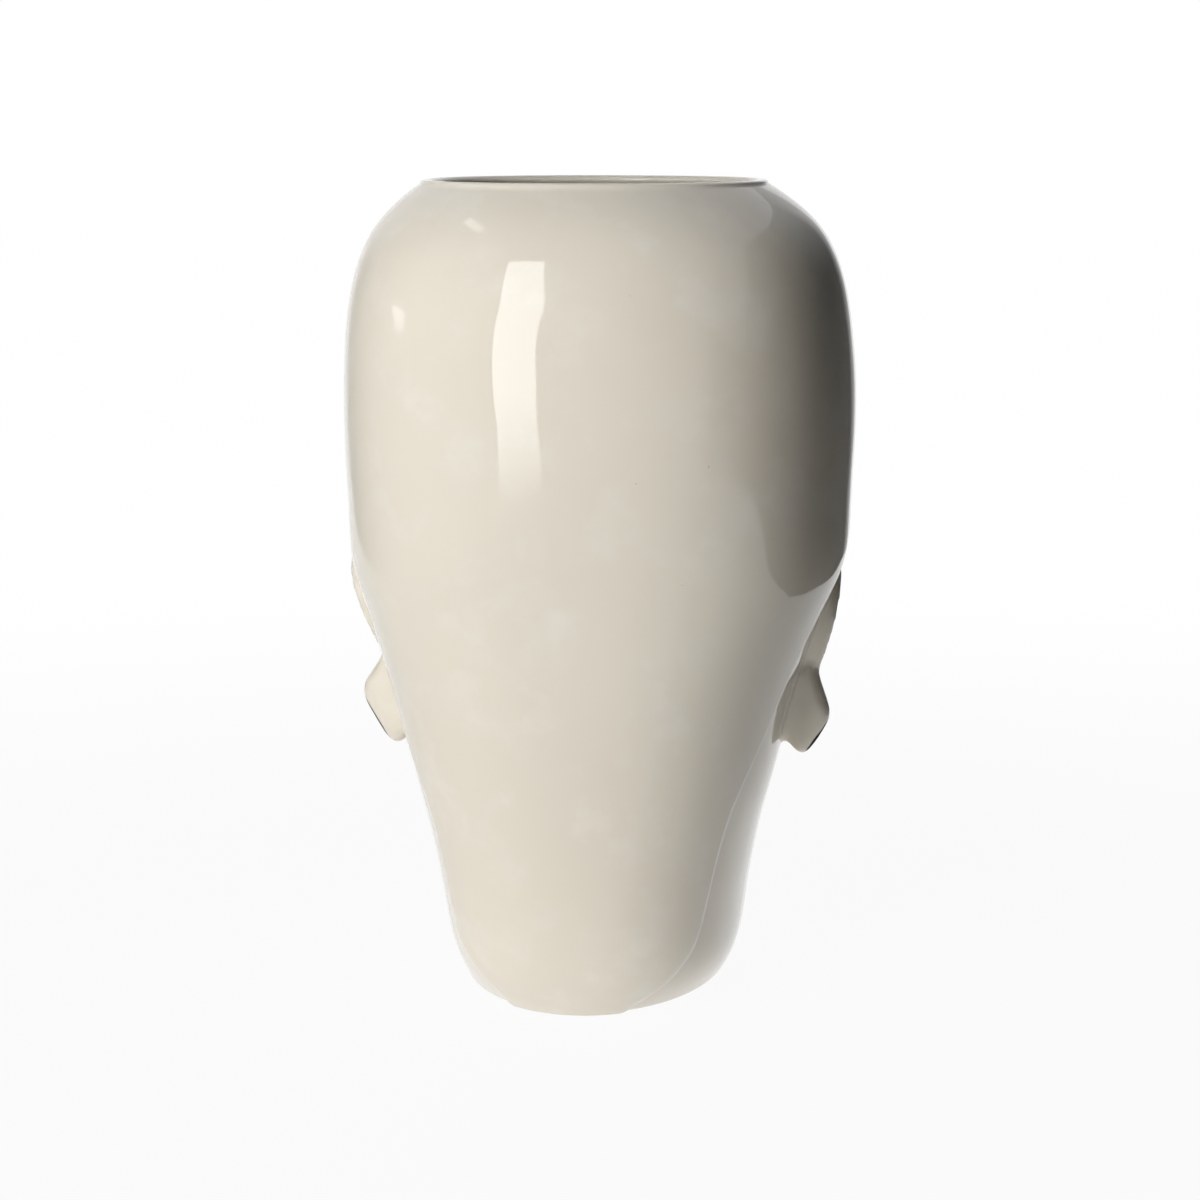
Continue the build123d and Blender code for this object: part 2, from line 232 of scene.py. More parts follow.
def markGlaze(piece, thin=(90, 420), hollowTone=(60, 300), passes=2):
    # glaze runs thin and paler over sharp forms, and this paleness also paints the highlight line along the
    # edges; the colour turns darker in hollows: read from how the mesh bends
    mesh = piece.data
    web = Web(mesh)
    places, around = web.places, web.around
    normals = np.empty(web.count * 3)
    mesh.vertex_normals.foreach_get("vector", normals)
    normals = normals.reshape(-1, 3)
    lengths = np.linalg.norm(places[web.ends[:, 0]] - places[web.ends[:, 1]], axis=1)
    edge = around(places) - places
    reach = np.bincount(web.both[:, 0], np.tile(lengths, 2) ** 2, web.count) / web.links
    bend = -(edge * normals).sum(axis=1) * 2 / reach.clip(1e-9)
    bend = bend[:, None]
    for _ in range(passes):
        bend = (bend + around(bend)) / 2
    bend = bend[:, 0]
    # the first is paler glaze over sharp forms with a painted highlight along edges, the second is darker
    # where the form is hollow
    for label, values in (("thinGlazeAndHighlight", smoothStep(*thin, bend)), ("darkerInHollows", smoothStep(*hollowTone, -bend))):
        mesh.attributes.new(label, "FLOAT", "POINT").data.foreach_set("value", values)


# the warm ivory glaze: colours, then how they are spread, then the surface
ivoryGlaze = {
    # the thin colour is glaze run thin, and along edges and the crease it is also a painted highlight
    "colour": (0.800, 0.742, 0.632), "warm": (0.775, 0.708, 0.595), "thin": (0.930, 0.920, 0.890),
    # the next colour is mixed in where the form is hollow, making it darker
    "hollowTone": (0.640, 0.590, 0.495), "speck": (0.420, 0.330, 0.230), "clay": (0.640, 0.560, 0.450),
    "lobeLine": (0.030, 0.026, 0.026),
    "driftScale": 6.5, "drift": (0.35, 0.68), "cloudScale": 34, "cloud": (0.45, 0.80, 0, 0.25),
    "hollowShare": 0.55, "brokenScale": 90, "broken": (0.25, 0.6, 0.75, 1.0),
    "speckScale": 260, "speckRarity": (0.982, 0.988), "speckSize": (0.06, 0.13), "speckShare": 0.35,
    # the foot is wiped bare where it stands
    "wiped": (0.0007, 0.0013), "wipedScale": 160, "wipedWander": 0.0008,
    "ior": 1.52, "roughness": (0.015, 0.045), "roughnessScale": 18, "roughnessSpread": (0.3, 0.75),
    "specular": 0.5, "bareSpecular": 0.05, "bareRoughness": 0.7,
    "waves": 0.00045, "waveScale": 22, "peel": 0.000006, "peelScale": 420, "pinhole": 0.00025,
}
bareClay = {
    "colour": (0.640, 0.560, 0.450), "dark": (0.520, 0.440, 0.340), "roughness": 0.85,
    "grain": 0.00016, "grainScale": 700, "blotchScale": 60, "blotch": (0.35, 0.7),
}
# the dark line on each lobe, seen from behind: across and height of its two ends, and which side is outwards
lobeLines = [
    {"from": (-0.1103, 0.1281), "to": (-0.0983, 0.1101), "outwards": -1},
    {"from": (0.1146, 0.1325), "to": (0.1026, 0.1126), "outwards": 1},
]
lobeLineLook = {
    "wander": 0.0012, "wanderScale": 150, "edge": (0.0002, 0.0008), "start": (-0.001, 0.003),
    "end": (-0.001, 0.004), "back": (0.010, 0.011),
}


class Wiring:
    # adds nodes to a material or a world and joins them up
    def __init__(self, tree):
        self.tree = tree

    def add(self, kind, settings=None, **inputs):
        # an input is given by its name, or as in0, in1 and so on
        node = self.tree.nodes.new(kind)
        for key, value in (settings or {}).items():
            setattr(node, key, value)
        for key, value in inputs.items():
            numbered = key.startswith("in") and key[2:].isdigit()
            socket = node.inputs[int(key[2:]) if numbered else key.replace("_", " ")]
            if isinstance(value, bpy.types.NodeSocket):
                self.tree.links.new(value, socket)
            else:
                socket.default_value = value
        return node

    def ramp(self, value, low, high, start=0.0, end=1.0):
        return self.add("ShaderNodeMapRange", {"interpolation_type": "SMOOTHSTEP"},
                        Value=value, From_Min=low, From_Max=high, To_Min=start, To_Max=end).outputs[0]

    def maths(self, operation, first, second):
        return self.add("ShaderNodeMath", {"operation": operation}, in0=first, in1=second).outputs[0]


class Brew(Wiring):
    # mixes one glaze or clay
    def __init__(self, name):
        self.material = bpy.data.materials.new(name)
        self.material.use_nodes = True
        super().__init__(self.material.node_tree)
        self.shader = self.tree.nodes["Principled BSDF"]
        self.place = self.add("ShaderNodeTexCoord").outputs["Object"]

    def noise(self, scale, detail=2.0, roughness=0.5, offset=(0, 0, 0)):
        moved = self.add("ShaderNodeMapping", Vector=self.place, Location=offset).outputs[0]
        return self.add("ShaderNodeTexNoise", Vector=moved, Scale=scale, Detail=detail,
                        Roughness=roughness).outputs[0]

    def mix(self, share, first, second):
        # the sockets of a colour mix are its first, seventh and eighth
        first, second = ((*value, 1) if isinstance(value, tuple) else value for value in (first, second))
        return self.add("ShaderNodeMix", {"data_type": "RGBA"}, in0=share, in6=first, in7=second).outputs[2]

    def bump(self, height, distance, before=None):
        node = self.add("ShaderNodeBump", Height=height, Distance=distance)
        if before:
            self.tree.links.new(before, node.inputs["Normal"])
        return node.outputs[0]

    def attribute(self, name):
        return self.add("ShaderNodeAttribute", {"attribute_name": name}).outputs["Fac"]

    def part(self, vector, axis):
        return self.add("ShaderNodeSeparateXYZ", Vector=vector).outputs["XYZ".index(axis)]

    def link(self, value, socket):
        self.tree.links.new(value, self.shader.inputs[socket])


def brewGlaze(name, look, lines=()):
    brew = Brew(name)
    brew.shader.inputs["IOR"].default_value = look["ior"]
    drift = brew.ramp(brew.noise(look["driftScale"], 3), *look["drift"])
    colour = brew.mix(drift, look["colour"], look["warm"])
    cloud = brew.ramp(brew.noise(look["cloudScale"], 4, 0.6, (3, 1, 7)), *look["cloud"])
    colour = brew.mix(cloud, colour, look["thin"])
    # darker where the form is hollow
    inHollows = brew.maths("MULTIPLY", brew.attribute("darkerInHollows"), look["hollowShare"])
    colour = brew.mix(inHollows, colour, look["hollowTone"])
    # paler where the glaze runs thin, which along edges is also a painted highlight line
    uneven = brew.ramp(brew.noise(look["brokenScale"], 3), *look["broken"])
    colour = brew.mix(brew.maths("MULTIPLY", brew.attribute("thinGlazeAndHighlight"), uneven), colour, look["thin"])
    # specks with pinholes, few and small
    cells = brew.add("ShaderNodeTexVoronoi", Vector=brew.place, Scale=look["speckScale"])
    chance = brew.add("ShaderNodeSeparateColor", Color=cells.outputs["Color"]).outputs[0]
    dot = brew.ramp(cells.outputs["Distance"], *look["speckSize"], 1.0, 0.0)
    speck = brew.maths("MULTIPLY", brew.ramp(chance, *look["speckRarity"]), dot)
    colour = brew.mix(brew.maths("MULTIPLY", speck, look["speckShare"]), colour, look["speck"])
    wander = brew.maths("MULTIPLY", brew.noise(look["wipedScale"], 2), look["wipedWander"])
    level = brew.maths("ADD", brew.part(brew.place, "Z"), wander)
    bare = brew.ramp(level, *look["wiped"], 1.0, 0.0)
    colour = brew.mix(bare, colour, look["clay"])
    for line in lines:
        mask = lobeLineMask(brew, line, lobeLineLook)
        colour = brew.mix(mask, colour, look["lobeLine"])
        bare = brew.maths("MAXIMUM", bare, mask)
    brew.link(colour, "Base Color")
    brew.link(brew.ramp(bare, 0.0, 1.0, look["specular"], look["bareSpecular"]), "Specular IOR Level")
    smooth = brew.noise(look["roughnessScale"], 4, 0.6, (5, 5, 5))
    rough = brew.ramp(smooth, *look["roughnessSpread"], *look["roughness"])
    brew.link(brew.maths("ADD", rough, brew.maths("MULTIPLY", bare, look["bareRoughness"])), "Roughness")
    normal = brew.bump(brew.noise(look["waveScale"], 1.5, 0.4, (9, 2, 4)), look["waves"])
    normal = brew.bump(brew.noise(look["peelScale"], 1), look["peel"], normal)
    normal = brew.bump(brew.maths("SUBTRACT", 1.0, speck), look["pinhole"], normal)
    brew.link(normal, "Normal")
    return brew.material


def lobeLineMask(brew, line, look):
    # a thin uneven line of dark glaze along the low outer edge of one lobe, on its back half only
    (startX, startZ), (endX, endZ) = line["from"], line["to"]
    length = float(np.hypot(endX - startX, endZ - startZ))
    turn = float(np.arctan2(endZ - startZ, endX - startX))
    # once turned, x runs along the line and z stands across it
    start = startX, 0, startZ
    moved = brew.add("ShaderNodeVectorMath", {"operation": "SUBTRACT"}, in0=brew.place, in1=start).outputs[0]
    turned = brew.add("ShaderNodeVectorRotate", {"rotation_type": "Y_AXIS"}, Vector=moved,
                      Angle=turn).outputs[0]
    along = brew.part(turned, "X")
    side = brew.maths("MULTIPLY", brew.part(turned, "Z"), line["outwards"])
    wander = brew.maths("MULTIPLY", brew.noise(look["wanderScale"], 2), look["wander"])
    mask = brew.ramp(brew.maths("ADD", side, wander), *look["edge"])
    for value, limits in ((along, look["start"]), (brew.maths("SUBTRACT", length, along), look["end"]),
                          (brew.part(brew.place, "Y"), look["back"])):
        mask = brew.maths("MULTIPLY", mask, brew.ramp(value, *limits))
    return mask


def brewClay(name, look):
    brew = Brew(name)
    brew.shader.inputs["Roughness"].default_value = look["roughness"]
    blotch = brew.ramp(brew.noise(look["blotchScale"], 4), *look["blotch"])
    brew.link(brew.mix(blotch, look["colour"], look["dark"]), "Base Color")
    brew.link(brew.bump(brew.noise(look["grainScale"], 4, 0.7), look["grain"]), "Normal")
    return brew.material


hoodGlaze = brewGlaze("ivoryGlaze", ivoryGlaze)
faceGlaze = brewGlaze("ivoryGlazeFace", ivoryGlaze, lobeLines)
clay = brewClay("bareClay", bareClay)
print("glazes mixed")

# the hood: skull and nape in one wall, with a rounded edge along the crease and a beaded lip
hood = {
    "step": 0.00185, "edge": 0.0014, "edgeRows": 7, "rows": 112, "wall": 0.006, "bedding": 0.003,
    "lip": 0.0022, "lipPower": 0.8, "lipDrop": 0.00308, "lipRows": 10, "insideRows": 36,
    # the rings along the edge where the glaze runs thin and a highlight line is painted pale, and how steep
    # the crease is there
    "highlightRings": (3, 8), "highlightSlopes": ((0.5, 2.0), (2.0, 4.0)), "flatShare": 0.5,
}


def throwHood():
    height = vessel["height"]
    rings = [ringPoints(crease, skinRadius(azimuths, crease, -hood["bedding"]))]
    for turn in np.linspace(0, pi / 2, hood["edgeRows"]):
        rise = crease + hood["edge"] * (1 - cos(turn)) * creaseStretch
        rings.append(ringPoints(rise, skinRadius(azimuths, rise, hood["step"] * sin(turn))))
    start, lipStart = crease + hood["edge"] * creaseStretch, height - hood["lip"]
    low, high = (np.interp(level, profileHeights, profileRun) for level in (start, lipStart))
    for share in np.linspace(0, 1, hood["rows"])[1:]:
        rise = np.interp(low + (high - low) * share, profileRun, profileHeights)
        rings.append(ringPoints(rise, skinRadius(azimuths, rise, hood["step"])))
    insideTop = height - hood["lipDrop"]
    outer = skinRadius(azimuths, lipStart, hood["step"])
    inner = skinRadius(azimuths, insideTop, -hood["wall"])
    for share in np.linspace(0, 1, hood["lipRows"] + 1)[1:]:
        bead = hood["lip"] * sin(pi * share) ** hood["lipPower"]
        rise = lipStart + bead - (lipStart - insideTop) * share
        rings.append(ringPoints(rise, outer + (inner - outer) * (1 - cos(pi * share)) / 2))
    for share in np.linspace(0, 1, hood["insideRows"])[1:]:
        rise = insideTop + (crease - insideTop) * share
        rings.append(ringPoints(rise, skinRadius(azimuths, rise, -hood["wall"])))
    bm = bmesh.new()
    stackRings(bm, rings)
    return finishPiece("hood", bm, hoodGlaze)


def thinGlazeAndHighlightEdge(piece):
    # the glaze runs paler along the rounded edge where the crease is steep: partly thin glaze, partly a
    # painted highlight line
    values = piece.data.attributes["thinGlazeAndHighlight"].data
    paleness = np.zeros(len(values))
    values.foreach_get("value", paleness)
    ring = np.arange(len(paleness)) // len(azimuths)
    steep, steeper = (np.tile(smoothStep(*slopes, np.abs(creaseSlope)), len(paleness) // len(azimuths))
                      for slopes in hood["highlightSlopes"])
    # the last of these rings lies far out where the crease is flat, so there it stays as it is
    first, last = hood["highlightRings"]
    steep = np.where(ring == last, steeper, steep)
    onEdge = (ring >= first) & (ring <= last)
    values.foreach_set("value", np.where(onEdge, np.maximum(paleness * hood["flatShare"], steep), paleness))


hoodPiece = throwHood()
markGlaze(hoodPiece)
thinGlazeAndHighlightEdge(hoodPiece)
print("hood thrown", len(hoodPiece.data.polygons))

# the face: the front wall with its sockets pressed in, and the sprigs luted on and smoothed over
face = {
    "wall": 0.005, "foot": 0.002, "footRows": 5, "rows": 130, "insideRows": 70,
    # how far the wall reaches up behind the hood's edge, and at most
    "tuck": 0.007, "tuckLimit": 0.030,
    "voxel": 0.0016, "merge": 0.00001, "softening": 5, "sprigSoftening": 8, "step": 0.5,
    # how far from the plain skin a point lies that goes back to it, and above which height
    "keep": (0.0003, 0.0010), "keepHeights": (0.0015, 0.004), "blending": 6, "lowest": 0.0001,
    # the left ear stands a little further out and higher than the right, from one height to another
    "earSpread": (0.0050, 0.008), "earHeights": (0.155, 0.187),
    # the eye's opening and the lids round it: half sizes, where the softening starts and ends, its passes
    "opening": (0.0150, 0.0078), "openingFade": (0.92, 1.2),
    "lids": (0.022, 0.019), "lidsFade": (1.0, 1.45), "lidSoftening": 30,
    # the inner wall starts at this share of its depth and keeps this share of its triangles
    "insideFrom": 0.8, "kept": 0.66,
    "sprigs": ["nose", "upper_lip", "lower_lip", "ear_left", "ear_right",
               "upper_eyelid_left", "upper_eyelid_right", "lower_eyelid_left", "lower_eyelid_right",
               "brow_left", "brow_right"],
}
# soft hollows and swells: across, height, half width, half height, outwards
facePresses = [
    (0.044, 0.1673, 0.030, 0.023, -0.0080),
    (0.056, 0.1270, 0.030, 0.026, 0.0030),
    (0.062, 0.0800, 0.026, 0.030, -0.0020),
    (0.078, 0.2100, 0.026, 0.034, -0.0025),
    (0.000, 0.0450, 0.026, 0.017, 0.0050),
    (0.000, 0.0640, 0.024, 0.008, -0.0020),
    (0.000, 0.1900, 0.012, 0.014, -0.0012),
    (0.000, 0.2300, 0.050, 0.030, 0.0010),
]
pressing = {"fall": 1.6, "front": (0.0, 0.3)}


def pressedRadius(azimuth, height, grow=0.0):
    radius = skinRadius(azimuth, height, grow)
    across = np.abs(radius * np.sin(azimuth))
    front = smoothStep(*pressing["front"], -np.cos(azimuth))
    for x, z, halfWidth, halfHeight, outwards in facePresses:
        far = np.hypot((across - x) / halfWidth, (height - z) / halfHeight)
        radius = radius + outwards * front * np.exp(-pressing["fall"] * far ** 2)
    return radius


# the lobes: soft lozenges, across and height of their outlines seen from behind
lobes = {
    "middle": 0.012, "half": 0.0085, "steps": 12, "rounding": 16, "rows": 14, "pillow": 3.0,
    "left": [
        (0.0960, 0.1600), (0.1050, 0.1560), (0.1110, 0.1465), (0.1165, 0.1385), (0.1160, 0.1320),
        (0.1100, 0.1215), (0.1040, 0.1115), (0.0990, 0.1083), (0.0935, 0.1132), (0.0875, 0.1210),
        (0.0825, 0.1400),
    ],
    "right": [
        (-0.0910, 0.1600), (-0.1030, 0.1570), (-0.1065, 0.1450), (-0.1110, 0.1325), (-0.1110, 0.1275),
        (-0.1040, 0.1155), (-0.0990, 0.1095), (-0.0950, 0.1105), (-0.0905, 0.1165), (-0.0825, 0.1230),
        (-0.0775, 0.1400),
    ],
}


def puffLobe(side):
    # a closed outline with rounded corners, blown up to both sides like a cushion
    corners = np.array(lobes[side])
    dense = np.vstack([a + (b - a) * np.linspace(0, 1, lobes["steps"], endpoint=False)[:, None]
                       for a, b in zip(corners, np.roll(corners, -1, axis=0))])
    for _ in range(lobes["rounding"]):
        dense = (np.roll(dense, 1, axis=0) + 2 * dense + np.roll(dense, -1, axis=0)) / 4
    centre = dense.mean(axis=0)
    rings = []
    for turn in np.linspace(-pi / 2, pi / 2, lobes["rows"] * 2 + 1)[1:-1]:
        scale, rise = (np.sign(value) * abs(value) ** (2 / lobes["pillow"])
                       for value in (cos(turn), sin(turn)))
        flat = centre + (dense - centre) * scale
        depth = np.full(len(flat), lobes["middle"] + rise * lobes["half"])
        rings.append(np.column_stack([flat[:, 0], depth, flat[:, 1]]))
    bm = bmesh.new()
    stackRings(bm, rings, capped=True)
    return bm


# the eyeballs: caps of a ball, set in the sockets behind the lids, each on a bed in the wall
eye = {
    "across": 0.044, "height": 0.1673, "ball": 0.022, "cap": 0.0105, "bed": 0.0208, "bedCap": 0.0125,
    "setBack": 0.021, "segments": 96, "rings": 64,
}


def capOfBall(side, radius, depth):
    bm = bmesh.new()
    bmesh.ops.create_uvsphere(bm, u_segments=eye["segments"], v_segments=eye["rings"], radius=radius)
    bmesh.ops.rotate(bm, verts=bm.verts, matrix=Matrix.Rotation(pi / 2, 3, "X"))
    bmesh.ops.bisect_plane(bm, geom=bm.verts[:] + bm.edges[:] + bm.faces[:], plane_co=(0, depth - radius, 0),
                           plane_no=(0, 1, 0), clear_outer=True)
    bmesh.ops.holes_fill(bm, edges=[e for e in bm.edges if e.is_boundary])
    bmesh.ops.recalc_face_normals(bm, faces=bm.faces)
    # the middle of the ball lies behind the skin, whose section is worked out at the eye
    front = shareAt(eye["height"], 4) * vessel["frontDepth"]
    width = shareAt(eye["height"], 1) * vessel["halfWidth"]
    power = shareAt(eye["height"], 5)
    surface = front * (1 - (eye["across"] / width) ** power) ** (1 / power)
    place = side * eye["across"], eye["setBack"] - surface, eye["height"]
    bmesh.ops.translate(bm, verts=bm.verts, vec=place)
    return bm


def pressFace():
    tops = crease + np.minimum(face["tuck"] * creaseStretch, face["tuckLimit"])
    rings = []
    for turn in np.linspace(0, pi / 2, face["footRows"]):
        rise = face["foot"] * (1 - cos(turn))
        rings.append(ringPoints(rise, pressedRadius(azimuths, rise, face["foot"] * (sin(turn) - 1))))
    for share in np.linspace(0, 1, face["rows"])[1:]:
        rise = face["foot"] + (tops - face["foot"]) * share
        rings.append(ringPoints(rise, pressedRadius(azimuths, rise)))
    for share in np.linspace(1, 0, face["insideRows"]):
        rise = tops * share
        rings.append(ringPoints(rise, pressedRadius(azimuths, rise, -face["wall"])))
    bm = bmesh.new()
    stackRings(bm, rings)
    for shape in (puffLobe("left"), puffLobe("right"),
                  capOfBall(-1, eye["bed"], eye["bedCap"]), capOfBall(1, eye["bed"], eye["bedCap"])):
        extra = bpy.data.meshes.new("extra")
        shape.to_mesh(extra)
        shape.free()
        bm.from_mesh(extra)
    for node in face["sprigs"]:
        known = len(bm.verts)
        bm.from_mesh(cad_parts[node].data)
        bm.verts.ensure_lookup_table()
        if node == "ear_left":
            for vert in bm.verts[known:]:
                lift = float(smoothStep(*face["earHeights"], vert.co.z))
                vert.co += Vector((face["earSpread"][0] * lift, 0, face["earSpread"][1] * lift))
    bmesh.ops.remove_doubles(bm, verts=bm.verts, dist=face["merge"])
    piece = finishPiece("face", bm, faceGlaze)
    fuse = piece.modifiers.new("fuse", "REMESH")
    fuse.mode = "VOXEL"
    fuse.voxel_size = face["voxel"]
    soften = piece.modifiers.new("soften", "SMOOTH")
    soften.factor = face["step"]
    soften.iterations = face["softening"]
    applyModifiers(piece)
    restoreSkin(piece)
    thinInside(piece)
    piece.data.shade_smooth()
    return piece


def applyModifiers(piece):
    made = bpy.data.meshes.new_from_object(piece.evaluated_get(bpy.context.evaluated_depsgraph_get()))
    piece.modifiers.clear()
    piece.data = made


def polar(places):
    # height, azimuth and radius of each point, about the leaning axis
    heights = places[:, 2].clip(0, vessel["height"])
    across, along = places[:, 0] - leanAt(heights), places[:, 1]
    return heights, np.arctan2(across, along), np.hypot(across, along)


def thinInside(piece):
    # the inner wall needs fewer triangles than the face that is looked at
    heights, azimuth, radius = polar(Web(piece.data).places)
    depth = pressedRadius(azimuth, heights) - radius
    inside = piece.vertex_groups.new(name="inside")
    inside.add(np.flatnonzero(depth > face["insideFrom"] * face["wall"]).tolist(), 1.0, "REPLACE")
    thin = piece.modifiers.new("thin", "DECIMATE")
    thin.ratio = face["kept"]
    thin.vertex_group = "inside"
    applyModifiers(piece)
    piece.vertex_groups.clear()


def markLids(places):
    # the lids round each eye, without its opening
    across, height = np.abs(places[:, 0]) - eye["across"], places[:, 2] - eye["height"]
    opened, lidded = (np.hypot(across / halfWidth, height / halfHeight)
                      for halfWidth, halfHeight in (face["opening"], face["lids"]))
    lids = smoothStep(*face["openingFade"], opened) * (1 - smoothStep(*face["lidsFade"], lidded))
    return (lids * (places[:, 1] < 0))[:, None]


def restoreSkin(piece):
    # plain skin goes back to its exact form, so that the gloss runs clean over it; sprigs blend into it
    mesh = piece.data
    web = Web(mesh)
    places = web.places
    walls = 0.0, -face["wall"]
    heights, azimuth, radius = polar(places)
    astray = [np.abs(radius - pressedRadius(azimuth, heights, grow)) for grow in walls]
    shares = np.column_stack([1 - smoothStep(*face["keep"], far) for far in astray])
    lids = markLids(places)
    shares = shares * smoothStep(*face["keepHeights"], heights)[:, None] * (1 - lids)
    for _ in range(face["blending"]):
        shares = (shares + web.around(shares)) / 2
    # the sprigs' own surface is softened a little more, most where it runs out into the skin
    free = 1 - shares.max(axis=1)[:, None]
    for passes, loose in ((face["sprigSoftening"], free), (face["lidSoftening"], lids)):
        for _ in range(passes):
            places += (web.around(places) - places) * face["step"] * loose
    heights, azimuth, radius = polar(places)
    for share, grow in zip(shares.T, walls):
        radius = radius + (pressedRadius(azimuth, heights, grow) - radius) * share
    places[:, 0], places[:, 1] = radius * np.sin(azimuth) + leanAt(heights), radius * np.cos(azimuth)
    places[:, 2] = places[:, 2].clip(face["lowest"], None)
    mesh.vertices.foreach_set("co", places.ravel())
    mesh.update()


facePiece = pressFace()
markGlaze(facePiece)
print("face pressed", len(facePiece.data.polygons))

eyePieces = {name: finishPiece(name, capOfBall(side, eye["ball"], eye["cap"]), hoodGlaze)
             for name, side in (("eyeballLeft", 1), ("eyeballRight", -1))}

# the base slab, left bare underneath
slab = {"top": 0.009, "bottom": 0.0006, "inset": 0.0046, "bevel": 0.0008, "bevelSteps": 3}


def rollSlab():
    bm = bmesh.new()
    ring = bmesh.ops.create_circle(bm, cap_ends=True, segments=len(azimuths), radius=1)["verts"]
    for vert, point in zip(ring, ringPoints(slab["bottom"], skinRadius(azimuths, 0.0, -slab["inset"]))):
        vert.co = point
    made = bmesh.ops.extrude_face_region(bm, geom=bm.faces[:])["geom"]
    top = [part for part in made if isinstance(part, bmesh.types.BMVert)]
    bmesh.ops.translate(bm, verts=top, vec=(0, 0, slab["top"] - slab["bottom"]))
    bmesh.ops.recalc_face_normals(bm, faces=bm.faces)
    rims = [e for e in bm.edges if (e.verts[0] in top) == (e.verts[1] in top)]
    bmesh.ops.bevel(bm, geom=rims, offset=slab["bevel"], segments=slab["bevelSteps"], profile=0.5,
                    affect="EDGES", material=-1)
    return finishPiece("baseSlab", bm, clay)


slabPiece = rollSlab()
print("eyes and base set")

pieces = {
    "hood": (hoodPiece, "glaze", ["hood_shell", "rim"]),
    "face": (facePiece, "glaze", ["face_shell", "ear_lobe_left", "ear_lobe_right"] + face["sprigs"]),
    "eyeballLeft": (eyePieces["eyeballLeft"], "glaze", ["eyeball_left"]),
    "eyeballRight": (eyePieces["eyeballRight"], "glaze", ["eyeball_right"]),
    "baseSlab": (slabPiece, "bare_clay", ["base"]),
}
for piece, slotName, replaced in pieces.values():
    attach(piece, "root")
    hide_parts(*replaced)

# the studio: a pale floor, cards and panels that show only in the gloss, three soft lamps and a camera
# azimuths are in degrees from the back of the head, towards its own left
studio = {
    "floorSize": 16.0, "floorColour": (0.55, 0.55, 0.54), "cardLight": 0.03,
    # the floor's whiteness and the light it throws back, from near the vase to far away
    "floorFade": (0.25, 1.2), "floorWhite": (0.94, 0.997), "bounceFade": (0.16, 0.42), "bounce": (0.65, 0.0),
}
lamps = {
    "keyLight": {
        "azimuth": 33.0, "distance": 1.5, "middle": 0.75, "width": 0.7, "height": 1.2, "power": 9.7},
    "fillLight": {
        "azimuth": 45.0, "distance": 1.5, "middle": 0.45, "width": 1.0, "height": 1.0, "power": 1.2},
    "frontLight": {
        "azimuth": 172.0, "distance": 1.6, "middle": 0.75, "width": 1.0, "height": 0.9, "power": 15.0},
}
# the tall strip light: share of the half height, both edges, tone
strip = {
    "azimuth": 17.6, "distance": 1.35, "middle": 0.885, "tilt": 4.4, "half": 0.90, "glow": 6.2,
    "rows": [(-1.00, -0.206, 0.075, 0.12), (-0.84, -0.208, 0.080, 0.75), (-0.66, -0.213, 0.088, 1.0),
             (0.00, -0.202, 0.145, 1.0), (0.50, -0.240, 0.122, 1.0), (1.00, -0.290, 0.092, 1.0)],
}
# small window panes that glint on the head's left side: both ends of the two edges, tone
windowPanes = {
    "paneHigh": [((0.290, 0.011, 0.735), (0.270, -0.014, 0.742), 3.2),
                 ((0.270, 0.144, 0.746), (0.247, 0.122, 0.761), 3.2)],
    "paneLow": [((0.516, 0.066, 0.437), (0.504, 0.168, 0.442), 4.0),
                ((0.524, 0.120, 0.389), (0.512, 0.188, 0.386), 2.0)],
}
# walls of the room that show in the gloss: the place and tone of each fold,
# then, for each level, its height, the share of that tone and the tone added
roomCards = {
    "cardRight": {
        "folds": [(-1.10, 1.35, 0.6), (-1.30, 0.95, 0.20), (-1.30, 0.55, 0.06), (-1.05, 0.25, 0.04),
                  (-0.71, 0.12, 0.03), (-0.48, -0.08, 0.05), (-0.46, -0.34, 0.08), (-0.35, -0.95, 0.10),
                  (-0.22, -1.20, 0.60)],
        "levels": [(0.0, 1.0, 0.0), (0.42, 1.0, 0.0), (0.85, 0.3, 0.6)],
    },
    "cardLeft": {
        "folds": [(0.60, 0.15, 1.00), (0.73, -0.20, 0.50), (0.95, -0.80, 0.40), (1.00, -1.40, 0.80)],
        "levels": [(0.0, 1.0, 0.0), (0.50, 1.0, 0.0), (0.90, 0.2, 0.8)],
    },
}
# the camera stands behind the head, a little to its right
# its pitch and aim are given in pixels of a picture 1200 pixels wide
view = {
    "azimuth": -7.5, "distance": 1.300, "height": 0.413, "lens": 81.9, "sensor": 36,
    "focalPixels": 2730, "pitchPixels": 489, "aimPixels": 3.5,
}


class Lighting(Wiring):
    # a material or world whose glow differs for the camera and the gloss
    def __init__(self, tree):
        super().__init__(tree)
        tree.nodes.clear()
        self.rays = self.add("ShaderNodeLightPath")

    def seen(self):
        either = self.maths("MAXIMUM", self.rays.outputs["Is Camera Ray"], self.rays.outputs["Is Glossy Ray"])
        return self.maths("MAXIMUM", either, self.rays.outputs["Is Transmission Ray"])

    def dimmedUnseen(self):
        # full strength where it is seen, hardly any as a light
        dim = studio["cardLight"]
        return self.maths("ADD", self.maths("MULTIPLY", self.seen(), 1 - dim), dim)


